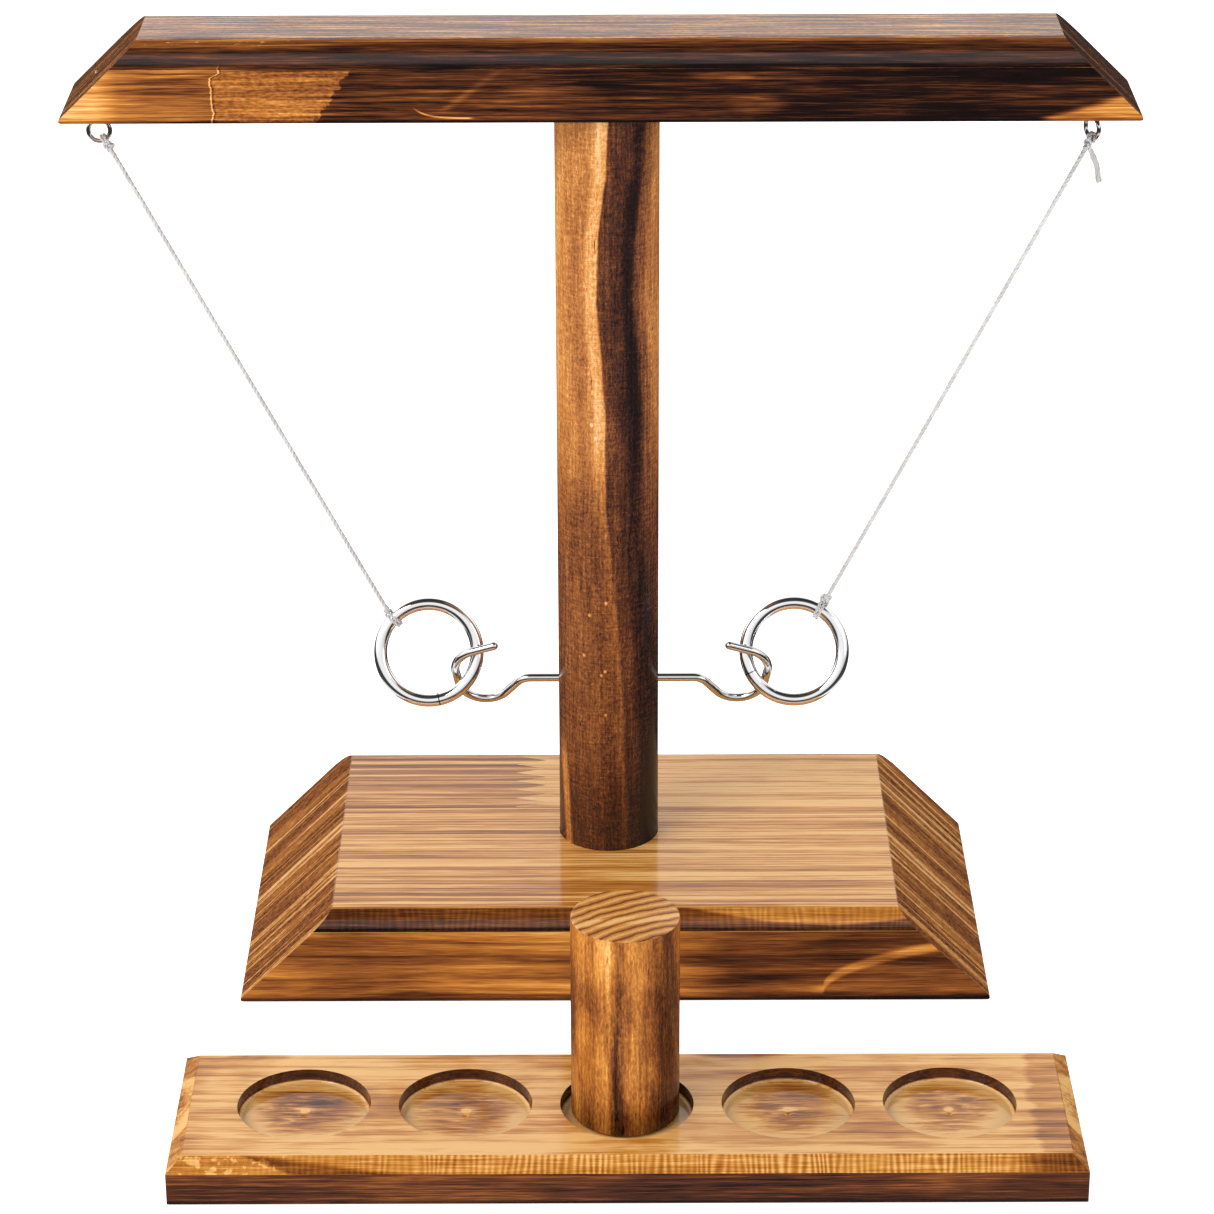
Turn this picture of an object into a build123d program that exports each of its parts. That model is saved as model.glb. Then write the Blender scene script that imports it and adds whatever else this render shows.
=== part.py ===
"""Tabletop hook-and-ring toss game: board with two hooks, two ringed strings, score ladder and peg.

Millimetres, +Z up. X runs along the crossbar, -Y faces the players, Z = 0 is the table top.
"""
from build123d import *
import math
import os

os.makedirs("parts", exist_ok=True)

# ---- wooden stand -------------------------------------------------------------
base_len, base_deep, base_high = 262.0, 130.0, 33.5
base_slant = 33.5
bar_len, bar_deep, bar_high = 355.2, 42.0, 26.5
bar_slant = 27.3
bar_x = -4.0
bar_z = 302.5
post_r = 17.5
post_x = -2.0
socket_depth = 12.0
socket_gap = 0.15
eased = 0.8

# ---- screws that hold the stand together --------------------------------------
recess_r, recess_deep = 6.2, 5.0
screw_offset = 9.5
screw_core, screw_crest = 1.7, 2.1
screw_hole = 2.25
washer_r, washer_thick = 5.2, 1.2
head_r, head_high = 4.2, 2.4
base_screw_top = 58.0
dowel_below, dowel_above = 26.0, 19.0

# ---- hooks, eyelets, rings and strings ----------------------------------------
target_x = -0.9
hook_z = 93.2
hook_tilt = 22.0
hook_wire_r = 1.5
hook_root = 5.0
ring_out = 64.1
ring_z = 103.2
ring_tilt = 24.0
ring_r, ring_wire_r = 16.95, 2.3
eye_r, eye_wire_r = 3.6, 0.75
eye_z = 293.9
eye_embed = 12.0
string_r = 0.8
loop_r = 0.7
tie_loop_r = 0.6
snug = 0.1
air = 0.3

left = {"side": -1, "eye_x": -170.0, "eye_turn": 0.0, "tie_angle": 136.0, "tie_knot_r": 1.5}
right = {"side": 1, "eye_x": 158.6, "eye_turn": -60.0, "tie_angle": 58.0, "tie_knot_r": 2.1}
eye_knot_r = 1.9
eye_knot_drop = eye_wire_r + snug + eye_knot_r + 0.05
tail_r = 1.3

# ---- score ladder and peg ------------------------------------------------------
ladder_len, ladder_deep, ladder_high = 292.0, 71.5, 15.0
ladder_x, ladder_y = 3.5, -157.0
ladder_chamfer_out, ladder_chamfer_down = 5.0, 4.0
cup_r, cup_deep, cup_round, cup_pitch = 21.6, 4.5, 1.5, 52.2
dimple_r, dimple_deep = 1.3, 1.0
peg_r, peg_high = 17.5, 71.5
peg_x, peg_y = 3.0, -154.0
peg_edge = 0.8


def unit(v):
    """Vector scaled to length one."""
    return v * (1.0 / v.length)


def save(builder, label):
    """Label one finished subcomponent and write it as STEP."""
    builder.part.label = label
    export_step(builder.part, "parts/" + label + ".step")
    print(label, "volume mm3", round(builder.part.volume, 1))


def thread_outline(start, count, pitch, core, crest):
    """Half outline of a screw thread, as points (distance along, radius)."""
    points = []
    for turn in range(count):
        points.append((start + turn * pitch, core))
        points.append((start + (turn + 0.5) * pitch, crest))
    points.append((start + count * pitch, core))
    return points


def slanted_block(length, deep, high, slant, round_out, round_down):
    """Block with sloped ends and router-rounded long top edges, bottom centre at the origin."""
    half = length / 2
    back = deep / 2
    with BuildPart() as block:
        with BuildSketch(Plane.XZ) as side_view:
            with BuildLine():
                Polyline((-half, 0), (half, 0), (half - slant, high), (-half + slant, high), close=True)
            make_face()
            fillet(side_view.vertices(), eased)
        extrude(amount=back, both=True)
        with BuildSketch(Plane.YZ):
            with BuildLine():
                flat = back - round_out
                low = high - round_down
                step = back - 0.4
                Line((-back, 0), (back, 0))
                Line((back, 0), (back, low))
                Line((back, low), (step, low))
                lean = math.radians(45)
                mid_y = flat + (step - flat) * math.sin(lean)
                mid_z = low + round_down * math.cos(lean)
                ThreePointArc((step, low), (mid_y, mid_z), (flat, high))
                Line((flat, high), (-flat, high))
                ThreePointArc((-flat, high), (-mid_y, mid_z), (-step, low))
                Line((-step, low), (-back, low))
                Line((-back, low), (-back, 0))
            make_face()
        extrude(amount=length, both=True, mode=Mode.INTERSECT)
    return block.part


# ================================================================================
# wooden stand
# ================================================================================
base_shape = slanted_block(base_len, base_deep, base_high, base_slant, 8.5, 6.5)
with BuildPart() as base_block:
    add(base_shape)
    with Locations((post_x, 0, base_high)):
        Cylinder(post_r + socket_gap, socket_depth, align=(Align.CENTER, Align.CENTER, Align.MAX),
                 mode=Mode.SUBTRACT)
    with Locations((post_x, -screw_offset, 0), (post_x, screw_offset, 0)):
        Cylinder(recess_r, recess_deep, align=(Align.CENTER, Align.CENTER, Align.MIN), mode=Mode.SUBTRACT)
        Cylinder(screw_hole, base_high, align=(Align.CENTER, Align.CENTER, Align.MIN), mode=Mode.SUBTRACT)

post_low = base_high - socket_depth
with BuildPart() as post:
    with Locations((post_x, 0, post_low)):
        Cylinder(post_r, bar_z - post_low, align=(Align.CENTER, Align.CENTER, Align.MIN))
    chamfer(post.edges().group_by(Axis.Z)[0], 0.5)
    with Locations((post_x, -screw_offset, post_low), (post_x, screw_offset, post_low)):
        Cylinder(screw_hole, base_screw_top + 2 - post_low, align=(Align.CENTER, Align.CENTER, Align.MIN),
                 mode=Mode.SUBTRACT)
    with Locations((post_x, 0, bar_z)):
        Cylinder(screw_hole, dowel_below + 2, align=(Align.CENTER, Align.CENTER, Align.MAX),
                 mode=Mode.SUBTRACT)
    for side in (-1, 1):
        with Locations(Plane(origin=(target_x + side * (hook_root - 1), 0, hook_z), z_dir=(side, 0, 0))):
            Cylinder(hook_wire_r + snug, post_r + 4, align=(Align.CENTER, Align.CENTER, Align.MIN),
                     mode=Mode.SUBTRACT)

bar_shape = slanted_block(bar_len, bar_deep, bar_high, bar_slant, 9.0, 8.5)
with BuildPart() as crossbar:
    with Locations((bar_x, 0, bar_z)):
        add(bar_shape)
    with Locations((post_x, 0, bar_z)):
        Cylinder(screw_hole, dowel_above + 2, align=(Align.CENTER, Align.CENTER, Align.MIN),
                 mode=Mode.SUBTRACT)
    with Locations((left["eye_x"], 0, bar_z), (right["eye_x"], 0, bar_z)):
        Cylinder(eye_wire_r + 0.25 + snug, eye_embed + 1, align=(Align.CENTER, Align.CENTER, Align.MIN),
                 mode=Mode.SUBTRACT)

# ---- two screws driven up from the recesses under the base ---------------------
head_top = recess_deep - washer_thick
with BuildPart() as screw_shape:
    with BuildSketch(Plane.XZ):
        with BuildLine():
            ridge = [(r, z) for z, r in reversed(thread_outline(24.0, 14, 2.0, screw_core, screw_crest))]
            head = [(screw_core, head_top), (head_r, head_top), (head_r, head_top - 1.2),
                    (head_r - 1.2, head_top - head_high), (0.0, head_top - head_high)]
            Polyline((0.0, base_screw_top), *ridge, *head, close=True)
        make_face()
    revolve(axis=Axis.Z)
    for turn in (0, 90):
        with Locations(Location((0, 0, head_top - head_high), (0, 0, turn))):
            Box(4.4, 0.9, 2.2, mode=Mode.SUBTRACT)
with BuildPart() as base_screws:
    with Locations((post_x, -screw_offset, 0), (post_x, screw_offset, 0)):
        add(screw_shape.part)

with BuildPart() as base_screw_washers:
    with Locations((post_x, -screw_offset, head_top), (post_x, screw_offset, head_top)):
        Cylinder(washer_r, washer_thick, align=(Align.CENTER, Align.CENTER, Align.MIN))
        Cylinder(screw_hole, washer_thick, align=(Align.CENTER, Align.CENTER, Align.MIN), mode=Mode.SUBTRACT)

# ---- headless double-ended screw hidden between post and crossbar --------------
with BuildPart() as dowel_screw_shape:
    with BuildSketch(Plane.XZ):
        with BuildLine():
            upper = [(r, z) for z, r in reversed(thread_outline(3.0, 6, 2.0, screw_core, screw_crest))]
            lower = [(r, z) for z, r in reversed(thread_outline(-17.0, 7, 2.0, screw_core, screw_crest))]
            Polyline((0, dowel_above), *upper, *lower, (0, -dowel_below), close=True)
        make_face()
    revolve(axis=Axis.Z)
with BuildPart() as crossbar_dowel_screw:
    with Locations((post_x, 0, bar_z)):
        add(dowel_screw_shape.part)

save(base_block, "base_block")
save(post, "post")
save(crossbar, "crossbar")
save(base_screws, "base_screws")
save(base_screw_washers, "base_screw_washers")
save(crossbar_dowel_screw, "crossbar_dowel_screw")

# ================================================================================
# hooks, eyelets, rings and strings, the same build on each side
# ================================================================================
tilt = math.radians(hook_tilt)
lean = math.radians(ring_tilt)
ring_up = Vector(0, math.sin(lean), math.cos(lean))
ring_face = Vector(0, -math.cos(lean), math.sin(lean))

with BuildLine() as hook_outline:
    shank = Line((hook_root + 10, 0), (28.5, 0))
    dip = JernArc(shank @ 1, shank % 1, 6.0, -52)
    fall = Line(dip @ 1, dip @ 1 + (dip % 1) * 6.2)
    under = JernArc(fall @ 1, fall % 1, 9.2, 52)
    rise = JernArc(under @ 1, under % 1, 9.6, 80)
    flank = Line(rise @ 1, rise @ 1 + (rise % 1) * 5.8)
    crown = JernArc(flank @ 1, flank % 1, 9.5, 80)
    point = Line(crown @ 1, crown @ 1 + (crown % 1) * 8.0)

for name, setting in (("left", left), ("right", right)):
    side = setting["side"]
    outward = Vector(side, 0, 0)

    # ---- wire hook: threaded root, straight shank, dip, then the open curl
    hook_up = Vector(0, -math.sin(tilt), math.cos(tilt))
    hook_plane = Plane(origin=(target_x, 0, hook_z), x_dir=outward, z_dir=outward.cross(hook_up))
    hook_path = hook_outline.wire().moved(hook_plane.location)
    with BuildPart() as hook:
        with BuildSketch(Plane(origin=hook_path @ 0, z_dir=outward)):
            Circle(hook_wire_r)
        sweep(path=hook_path)
        with Locations(hook_path @ 1):
            Sphere(hook_wire_r)
        with BuildSketch(hook_plane):
            with BuildLine():
                ridge = thread_outline(hook_root + 1.5, 6, 1.4, 1.1, hook_wire_r)
                Polyline((hook_root - 0.5, 0), *ridge, (hook_root + 10, hook_wire_r), (hook_root + 10.5, 0),
                         close=True)
            make_face()
        revolve(axis=Axis((target_x, 0, hook_z), (side, 0, 0)))

    # ---- steel ring, leaning back to rest on its hook
    ring_at = Vector(target_x + side * ring_out, 0, ring_z)
    with BuildPart() as ring:
        with Locations(Plane(origin=ring_at, x_dir=(1, 0, 0), z_dir=ring_face)):
            Torus(ring_r, ring_wire_r)

    # ---- screw eye under the crossbar
    eye_at = Vector(setting["eye_x"], 0, eye_z)
    turn = math.radians(setting["eye_turn"])
    eye_side = Vector(math.cos(turn), math.sin(turn), 0)
    eye_plane = Plane(origin=eye_at, x_dir=eye_side, z_dir=eye_side.cross(Vector(0, 0, 1)))
    with BuildPart() as eyelet:
        with Locations(eye_plane):
            Torus(eye_r, eye_wire_r)
        with BuildSketch(eye_plane):
            with BuildLine():
                collar = bar_z - eye_z
                ridge = [(r, z) for z, r in thread_outline(collar + 1, 5, 1.8, 0.65, 1.0)]
                Polyline((0, eye_r), (eye_wire_r + 0.1, eye_r), (eye_wire_r + 0.1, collar), *ridge,
                         (0, collar + eye_embed), close=True)
            make_face()
        revolve(axis=Axis((setting["eye_x"], 0, 0), (0, 0, 1)))

    # ---- where the string leaves each end
    tie_turn = math.radians(setting["tie_angle"])
    radial = Vector(1, 0, 0) * math.cos(tie_turn) + ring_up * math.sin(tie_turn)
    tie_at = ring_at + radial * ring_r
    pull = unit(eye_at - tie_at)
    if name == "left":
        down = unit(tie_at - eye_at)
        wire_at = eye_at + unit(Vector(down.X, 0, down.Z)) * eye_r
    else:
        wire_at = eye_at - Vector(0, 0, eye_r)
    wire_along = unit((wire_at - eye_at).cross(eye_plane.z_dir))
    eye_knot_at = wire_at - unit(wire_at - tie_at) * eye_knot_drop
    tie_knot_r = setting["tie_knot_r"]
    tie_out = ring_wire_r + snug + tie_loop_r
    tie_knot_at = tie_at + unit(radial + pull) * (ring_wire_r + snug + tie_knot_r + 0.05)

    # ---- knot round the eyelet
    with BuildPart() as eyelet_knot:
        with Locations(Plane(origin=wire_at, z_dir=wire_along)):
            Torus(eye_wire_r + snug + loop_r, loop_r)
        with Locations(eye_knot_at):
            Sphere(eye_knot_r)

    # ---- loop and knot round the ring's wire
    ring_along = unit(radial.cross(ring_face))
    with BuildPart() as ring_knot:
        with Locations(Plane(origin=tie_at, z_dir=ring_along)):
            Torus(tie_out, tie_loop_r)
        with Locations(tie_knot_at):
            Sphere(tie_knot_r)

    # ---- taut string between the two knots
    run = unit(eye_knot_at - tie_knot_at)
    string_low = tie_knot_at + run * (tie_knot_r + air)
    string_high = eye_knot_at - run * (eye_knot_r + air)
    string_len = (string_high - string_low).length
    with BuildPart() as string:
        with BuildSketch(Plane(origin=string_low, z_dir=run)):
            Circle(string_r)
        extrude(amount=string_len)

    save(hook, name + "_hook")
    save(ring, name + "_ring")
    save(eyelet, name + "_eyelet")
    save(eyelet_knot, name + "_eyelet_knot")
    save(ring_knot, name + "_ring_knot")
    save(string, name + "_string")
    section = math.pi * string_r ** 2
    print(name, "string length", round(string_len, 2), "volume ratio",
          round(string.part.volume / (section * string_len), 4), "straight, no bends, radius", string_r)
    print(name, "ring centre", ring_at, "eyelet knot", eye_knot_at, "ring knot", tie_knot_at)

# ---- frayed loose end below the right eyelet knot ------------------------------
tail_from = eye_knot_at + unit(Vector(0.44, -0.1, -0.9)) * (eye_knot_r + 0.4)
tail_mid = tail_from + Vector(2.1, -0.3, -4.3)
tail_end = tail_mid + Vector(0.9, 0, -6.8)
with BuildPart() as right_string_tail:
    with BuildLine() as tail_path:
        FilletPolyline(tail_from, tail_mid, tail_end, radius=8.0)
    with BuildSketch(Plane(origin=tail_path.line @ 0, z_dir=tail_path.line % 0)):
        Circle(tail_r)
    sweep()
save(right_string_tail, "right_string_tail")
tail_len = tail_path.wire().length
print("tail length", round(tail_len, 2), "volume ratio",
      round(right_string_tail.part.volume / (math.pi * tail_r ** 2 * tail_len), 4), "bend radius 8.0")

# ================================================================================
# score ladder and its peg
# ================================================================================
with BuildPart() as ladder_board:
    with BuildSketch(Plane.XZ.offset(-ladder_y)):
        with BuildLine():
            half = ladder_len / 2
            knee = ladder_high - ladder_chamfer_down
            inner = half - ladder_chamfer_out
            Polyline((ladder_x - half, 0), (ladder_x + half, 0), (ladder_x + half, knee),
                     (ladder_x + inner, ladder_high), (ladder_x - inner, ladder_high),
                     (ladder_x - half, knee), close=True)
        make_face()
    extrude(amount=ladder_deep / 2, both=True)
    with BuildSketch(Plane.YZ):
        with BuildLine():
            half = ladder_deep / 2
            inner = half - ladder_chamfer_out
            Polyline((ladder_y - half, 0), (ladder_y + half, 0), (ladder_y + half, knee),
                     (ladder_y + inner, ladder_high), (ladder_y - inner, ladder_high),
                     (ladder_y - half, knee), close=True)
        make_face()
    extrude(amount=ladder_len, both=True, mode=Mode.INTERSECT)
    with Locations((ladder_x, ladder_y, ladder_high - cup_deep)):
        with GridLocations(cup_pitch, 0, 5, 1):
            Cylinder(cup_r, cup_deep, align=(Align.CENTER, Align.CENTER, Align.MIN), mode=Mode.SUBTRACT)
    floor_rims = ladder_board.edges().filter_by(GeomType.CIRCLE).group_by(Axis.Z)[0]
    fillet(floor_rims, cup_round)
    with Locations((ladder_x, ladder_y, ladder_high - cup_deep - dimple_deep)):
        with GridLocations(cup_pitch, 0, 5, 1):
            Cone(0.05, dimple_r, dimple_deep, align=(Align.CENTER, Align.CENTER, Align.MIN),
                 mode=Mode.SUBTRACT)

with BuildPart() as marker_peg:
    with Locations((peg_x, peg_y, ladder_high - cup_deep + air)):
        Cylinder(peg_r, peg_high, align=(Align.CENTER, Align.CENTER, Align.MIN))
    chamfer(marker_peg.edges().filter_by(GeomType.CIRCLE).group_by(Axis.Z)[0], peg_edge)
    fillet(marker_peg.edges().filter_by(GeomType.CIRCLE).group_by(Axis.Z)[-1], 0.6)

save(ladder_board, "ladder_board")
save(marker_peg, "marker_peg")
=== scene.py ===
import bpy, math, random
from mathutils import Vector, Matrix


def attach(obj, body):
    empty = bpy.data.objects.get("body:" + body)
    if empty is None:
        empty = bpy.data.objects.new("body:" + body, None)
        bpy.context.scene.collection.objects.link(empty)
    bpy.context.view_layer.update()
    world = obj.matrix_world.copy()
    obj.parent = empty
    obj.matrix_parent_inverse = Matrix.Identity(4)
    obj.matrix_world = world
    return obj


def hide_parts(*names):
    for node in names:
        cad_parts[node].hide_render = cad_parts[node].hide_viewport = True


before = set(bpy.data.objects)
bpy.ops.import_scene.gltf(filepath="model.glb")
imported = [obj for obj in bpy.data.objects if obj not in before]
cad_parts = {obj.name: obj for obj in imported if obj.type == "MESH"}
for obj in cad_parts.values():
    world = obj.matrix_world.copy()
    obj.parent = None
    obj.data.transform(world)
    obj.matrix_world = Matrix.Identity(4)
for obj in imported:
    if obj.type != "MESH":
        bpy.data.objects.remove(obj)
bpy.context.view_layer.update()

MM = 0.001

# sizes of the CAD model that the marks on the wood and the seam in the rings are placed by, in metres
BAR_LOW = 0.3025
SEAM_Y = 0.0165
LADDER_X = 0.0035
CUP_Y, CUP_PITCH, CUP_R, CUP_EDGE_R = -0.1540, 0.0522, 0.0216, 0.0220
PEG_X = 0.003
RING_X, RING_Z, RING_R = {"left": -0.0650, "right": 0.0632}, 0.1032, 0.01695
RING_LEAN = math.radians(24.0)

# ------------------------------------------------------------------ camera
# solved from the edges of crossbar, post, base and ladder
PHOTO_PX, FOCAL_PX, SENSOR_MM = 1214.0, 3889.9, 36.0
CAMERA_MM = (-2.45, -1238.53, 678.21)
pitch, roll = math.radians(24.249), math.radians(-0.172)
fwd = Vector((0, math.cos(pitch), -math.sin(pitch)))
right0 = Vector((1, 0, 0))
up0 = right0.cross(fwd)
cam_right = right0 * math.cos(roll) + up0 * math.sin(roll)
cam_up = up0 * math.cos(roll) - right0 * math.sin(roll)
cam_data = bpy.data.cameras.new("camera")
cam_data.sensor_width = SENSOR_MM
cam_data.lens = SENSOR_MM * FOCAL_PX / PHOTO_PX
cam_data.clip_start, cam_data.clip_end = 0.05, 50.0
cam = bpy.data.objects.new("camera", cam_data)
bpy.context.collection.objects.link(cam)
rot = Matrix((cam_right, cam_up, -fwd)).transposed()
cam.matrix_world = Matrix.Translation(Vector(CAMERA_MM) * MM) @ rot.to_4x4()
bpy.context.scene.camera = cam

# ------------------------------------------------------------------ node helpers
class Tree:
    """Small builder for shader node trees."""
    def __init__(self, tree):
        self.t = tree
        self.t.nodes.clear()

    def node(self, kind, **props):
        n = self.t.nodes.new(kind)
        for k, v in props.items():
            setattr(n, k, v)
        return n

    def put(self, socket, value):
        if isinstance(value, bpy.types.NodeSocket):
            self.t.links.new(value, socket)
        elif value is not None:
            socket.default_value = value

    def math(self, op, a, b=None):
        n = self.node("ShaderNodeMath", operation=op)
        for i, v in enumerate((a, b)):
            self.put(n.inputs[i], v)
        return n.outputs[0]

    def noise(self, vec, scale, detail=3.0, rough=0.5, distort=0.0):
        n = self.node("ShaderNodeTexNoise")
        self.put(n.inputs["Vector"], vec)
        n.inputs["Scale"].default_value = scale
        n.inputs["Detail"].default_value = detail
        n.inputs["Roughness"].default_value = rough
        n.inputs["Distortion"].default_value = distort
        return n.outputs["Fac"]

    def stretch(self, vec, scale, loc=(0, 0, 0)):
        n = self.node("ShaderNodeMapping")
        self.put(n.inputs["Vector"], vec)
        n.inputs["Scale"].default_value = scale
        n.inputs["Location"].default_value = loc
        return n.outputs[0]

    def ramp(self, fac, stops):
        n = self.node("ShaderNodeValToRGB")
        e = n.color_ramp.elements
        while len(e) < len(stops):
            e.new(0.5)
        for el, (p, col) in zip(e, stops):
            el.position = p
            el.color = (*col, 1)
        self.put(n.inputs[0], fac)
        return n.outputs[0]

    def level(self, fac, stops):
        """Ramp of plain numbers."""
        return self.ramp(fac, [(p, (v, v, v)) for p, v in stops])

    def range(self, v, a, b, c=0.0, d=1.0, smooth=False):
        """Map a..b to c..d, held at both ends."""
        n = self.node("ShaderNodeMapRange", interpolation_type="SMOOTHSTEP" if smooth else "LINEAR")
        self.put(n.inputs["Value"], v)
        for k, x in (("From Min", a), ("From Max", b), ("To Min", c), ("To Max", d)):
            n.inputs[k].default_value = x
        return n.outputs[0]

    def mix(self, fac, a, b, blend="MIX"):
        n = self.node("ShaderNodeMix", data_type="RGBA", blend_type=blend)
        self.put(n.inputs["Factor"], fac)
        self.put(n.inputs[6], a if not isinstance(a, tuple) else (*a, 1))
        self.put(n.inputs[7], b if not isinstance(b, tuple) else (*b, 1))
        return n.outputs[2]


def material(name):
    m = bpy.data.materials.new(name)
    m.use_nodes = True
    t = Tree(m.node_tree)
    out = t.node("ShaderNodeOutputMaterial")
    bsdf = t.node("ShaderNodeBsdfPrincipled")
    t.t.links.new(bsdf.outputs[0], out.inputs[0])
    return m, t, bsdf


def bump(t, bsdf, height, strength, distance):
    n = t.node("ShaderNodeBump")
    n.inputs["Strength"].default_value = strength
    n.inputs["Distance"].default_value = distance
    t.put(n.inputs["Height"], height)
    t.put(bsdf.inputs["Normal"], n.outputs[0])


# linear colours of torched pine, from charred at 0 to pale at 1
PALETTE = [(0.0, (0.005, 0.0022, 0.002)), (0.15, (0.020, 0.0065, 0.0035)), (0.34, (0.098, 0.027, 0.007)),
           (0.50, (0.245, 0.074, 0.014)), (0.66, (0.440, 0.152, 0.024)), (0.82, (0.665, 0.280, 0.050)),
           (1.0, (0.91, 0.52, 0.18))]


class Wood:
    """Torched, varnished pine: a tone from 0, charred, to 1, pale, laid over grain and growth rings."""
    def __init__(self, name, grain, seed):
        self.m, self.t, self.b = material(name)
        t = self.t
        self.geo = t.node("ShaderNodeTexCoord").outputs["Object"]
        sep = t.node("ShaderNodeSeparateXYZ")
        t.put(sep.inputs[0], self.geo)
        self.x, self.y, self.z = sep.outputs
        ns = t.node("ShaderNodeSeparateXYZ")
        t.put(ns.inputs[0], t.node("ShaderNodeNewGeometry").outputs["Normal"])
        self.nx, self.ny, self.nz = ns.outputs
        self.grain, self.seed, self.k = grain, seed, 0

    def tex(self, lengthwise, across, detail=3.0, rough=0.55, distort=0.0):
        """Noise drawn out along the grain; the numbers are features to the metre. Centred on zero."""
        self.k += 1
        s = (lengthwise, across, across) if self.grain == "x" else (across, across, lengthwise)
        o = self.seed * 3.1 + self.k * 5.7
        v = self.t.stretch(self.geo, s, (o, o * 0.37, o * 0.73))
        return self.t.math("SUBTRACT", self.t.noise(v, 1.0, detail, rough, distort), 0.5)

    def add(self, a, b):
        return self.t.math("ADD", a, b)

    def sub(self, a, b):
        return self.t.math("SUBTRACT", a, b)

    def mul(self, a, b):
        return self.t.math("MULTIPLY", a, b)

    def lerp(self, a, b, m):
        n = self.t.node("ShaderNodeMix", data_type="FLOAT")
        for i, v in ((0, m), (2, a), (3, b)):
            self.t.put(n.inputs[i], v)
        return n.outputs[0]

    def step(self, v, edge, soft):
        """Zero below edge, one above it."""
        return self.t.range(self.t.math("DIVIDE", self.sub(v, edge), soft), -1, 1, 0, 1, True)

    def band(self, v, a, b, soft):
        """One between a and b, zero outside them."""
        return self.mul(self.step(v, a, soft), self.sub(1.0, self.step(v, b, soft)))

    def curve(self, v, points):
        """Straight runs through (place, value) points, any values."""
        lo, hi = points[0][0], points[-1][0]
        vals = [q for _, q in points]
        vlo, vhi = min(vals), max(vals)
        stops = [((p - lo) / (hi - lo), (q - vlo) / (vhi - vlo)) for p, q in points]
        g = self.t.level(self.t.range(v, lo, hi), stops)
        return self.add(self.mul(g, vhi - vlo), vlo)

    def rings(self, pith, spacing, wander, wide=20.0, profile=None):
        """Growth rings round a line pith, in metres across the grain. Centred near zero."""
        u, v = (self.y, self.z) if self.grain == "x" else (self.x, self.y)
        du = self.add(self.sub(u, pith[0]), self.mul(self.tex(4.0, wide, 2.0), wander))
        dv = self.sub(v, pith[1])
        r = self.t.math("SQRT", self.add(self.mul(du, du), self.mul(dv, dv)))
        r = self.add(r, self.mul(self.tex(9.0, 110.0, 2.0), spacing * 0.7))
        g = self.t.math("FRACT", self.mul(r, 1.0 / spacing))
        prof = profile or [(0.0, 0.05), (0.08, 0.45), (0.45, 0.95), (0.80, 0.62), (0.95, 0.08), (1.0, 0.05)]
        return self.sub(self.t.level(g, prof), 0.5)

    def ripples(self, pitch):
        """Uneven ripples across the grain of an x-grained board. Centred on zero."""
        n = self.t.noise(self.t.stretch(self.geo, (90, 25, 25), (self.seed, 4, 7)), 1.0, 2.0)
        wave = self.t.math("SINE", self.add(self.mul(self.x, 2 * math.pi / pitch), self.mul(n, 26.0)))
        gate = self.t.noise(self.t.stretch(self.geo, (130, 60, 60), (9, self.seed, 2)), 1.0, 2.0)
        return self.mul(self.mul(wave, 0.5), self.t.range(gate, 0.35, 0.65, 0.35, 1.0))

    def lines(self, along, across, edge=0.02, width=0.07):
        """Uneven pale lines at one depth, running on down the sawn ends; for boards whose grain is x."""
        self.k += 1
        o = self.seed * 2.3 + self.k * 4.1
        v = self.t.stretch(self.geo, (along, across, along), (o, o * 0.61, o * 0.29))
        n = self.t.noise(v, 1.0, 3.0, 0.6)
        return self.t.range(n, 0.5 + edge, 0.5 + edge + width, -0.3, 0.7, True)

    def spot(self, c, size, plane="xz"):
        """Soft round mark at c, one at its middle."""
        a, b = {"xz": (self.x, self.z), "xy": (self.x, self.y)}[plane]
        da = self.mul(self.sub(a, c[0]), 1.0 / size[0])
        db = self.mul(self.sub(b, c[1]), 1.0 / size[1])
        d = self.t.math("SQRT", self.add(self.mul(da, da), self.mul(db, db)))
        return self.t.range(d, 0.4, 1.0, 1, 0, True)

    def done(self, f, relief, cool, coat=0.85, rough=0.11):
        """Finish the shader: f is the tone, relief the bump, cool how far the colour is greyed."""
        t, b = self.t, self.b
        f = t.math("MINIMUM", t.math("MAXIMUM", f, 0.0), 1.0)
        col = t.ramp(f, PALETTE)
        grey = t.mix(1.0, t.mix(1.0, col, (0.95, 0.98, 1.35), "MULTIPLY"), (0.006, 0.004, 0.004), "ADD")
        t.put(b.inputs["Base Color"], t.mix(cool, col, grey))
        t.put(b.inputs["Roughness"], t.range(relief, -0.5, 0.5, 0.62, 0.42))
        b.inputs["Specular IOR Level"].default_value = 0.0
        b.inputs["Coat Weight"].default_value = coat
        b.inputs["Coat Roughness"].default_value = rough
        b.inputs["Coat IOR"].default_value = 1.5
        bump(t, b, relief, 0.45, 0.0004)
        return self.m


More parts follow.
